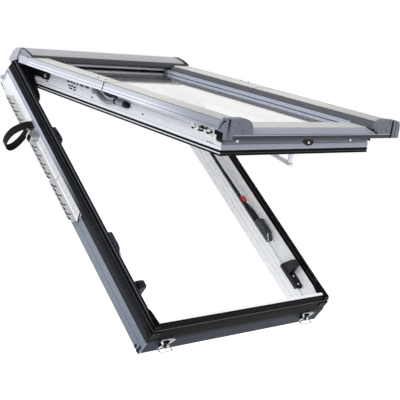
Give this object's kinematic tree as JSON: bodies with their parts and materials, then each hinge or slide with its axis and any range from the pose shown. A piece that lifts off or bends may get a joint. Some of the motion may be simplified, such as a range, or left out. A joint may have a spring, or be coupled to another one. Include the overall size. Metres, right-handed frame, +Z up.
{
  "type": "roof window",
  "caption": "Top-hung roof window standing open: pitched frame with black kerb gasket, glazed sash with arched covers and hood, fixing rails and carrying straps.",
  "frame": {"origin": "on the underside of the left fixing rail's flange, where the window rests on the roof: midway across the flange and 782 mm up from the frame's lower edge", "axes": "+X across the window, left to right seen from outside; +Y level, into the roof; +Z up. The frame is pitched 45 degrees about X, its lower edge towards -Y."},
  "size_m": [0.9016, 1.1943, 0.9488],
  "materials": {
    "arm_metal": "black",
    "buckle_steel": "bright pressed steel",
    "cap_plastic": "grey moulded",
    "cladding_metal": "blue-grey powder coat",
    "clip_steel": "bright spring steel",
    "cover_metal": "blue-grey powder coat",
    "gasket_black": "matt black",
    "glass_clear": "clear insulating glass",
    "handle_metal": "satin",
    "hood_end_plastic": "grey moulded",
    "hood_metal": "grey powder coat",
    "knuckle_metal": "grey cast",
    "lining_white": "satin white profile",
    "lock_metal": "bright",
    "rail_steel": "galvanised, matt",
    "sash_bar_plastic": "pale blue-grey profile",
    "seal_black": "matt black",
    "stay_plastic": "matt black",
    "strike_plastic": "matt black",
    "strip_silver": "pale silver",
    "webbing": "woven black webbing"
  },
  "bodies": {
    "root": {"carrying_strap_left": "webbing", "carrying_strap_right": "webbing", "corner_cap_left": "cap_plastic", "corner_cap_right": "cap_plastic", "fixing_rail_lower_left": "rail_steel", "fixing_rail_lower_right": "rail_steel", "fixing_rail_middle_left": "rail_steel", "fixing_rail_middle_right": "rail_steel", "fixing_rail_upper_left": "rail_steel", "fixing_rail_upper_right": "rail_steel", "frame_cladding_bottom": "cladding_metal", "frame_cladding_left": "cladding_metal", "frame_cladding_right": "cladding_metal", "frame_cladding_top": "cladding_metal", "frame_gasket_bottom": "gasket_black", "frame_gasket_left": "gasket_black", "frame_gasket_right": "gasket_black", "frame_gasket_top": "gasket_black", "frame_lining_bottom": "lining_white", "frame_lining_left": "lining_white", "frame_lining_right": "lining_white", "frame_lining_top": "lining_white", "glass_pane": "glass_clear", "handle": "handle_metal", "hinge_arm_left": "arm_metal", "hinge_arm_right": "arm_metal", "hood": "hood_metal", "hood_cheek_left": "hood_end_plastic", "hood_cheek_right": "hood_end_plastic", "hood_end_left": "hood_end_plastic", "hood_end_right": "hood_end_plastic", "lock_case_left": "lock_metal", "lock_case_right": "lock_metal", "lock_strike_left": "strike_plastic", "lock_strike_right": "strike_plastic", "pivot_knuckle_left": "knuckle_metal", "pivot_knuckle_right": "knuckle_metal", "sash_bar_bottom": "sash_bar_plastic", "sash_bar_left": "sash_bar_plastic", "sash_bar_right": "sash_bar_plastic", "sash_bar_top": "sash_bar_plastic", "sash_cover_bottom": "cover_metal", "sash_cover_lower_left": "cover_metal", "sash_cover_lower_right": "cover_metal", "sash_cover_top": "cover_metal", "sash_cover_upper_left": "cover_metal", "sash_cover_upper_right": "cover_metal", "sash_seal_bottom": "seal_black", "sash_seal_left": "seal_black", "sash_seal_right": "seal_black", "sash_seal_top": "seal_black", "side_strip_left": "strip_silver", "side_strip_right": "strip_silver", "stay_left": "stay_plastic", "stay_right": "stay_plastic", "strap_anchor_left": "buckle_steel", "strap_anchor_right": "buckle_steel", "toggle_clip_left": "clip_steel", "toggle_clip_right": "clip_steel"}
  },
  "joints": []
}
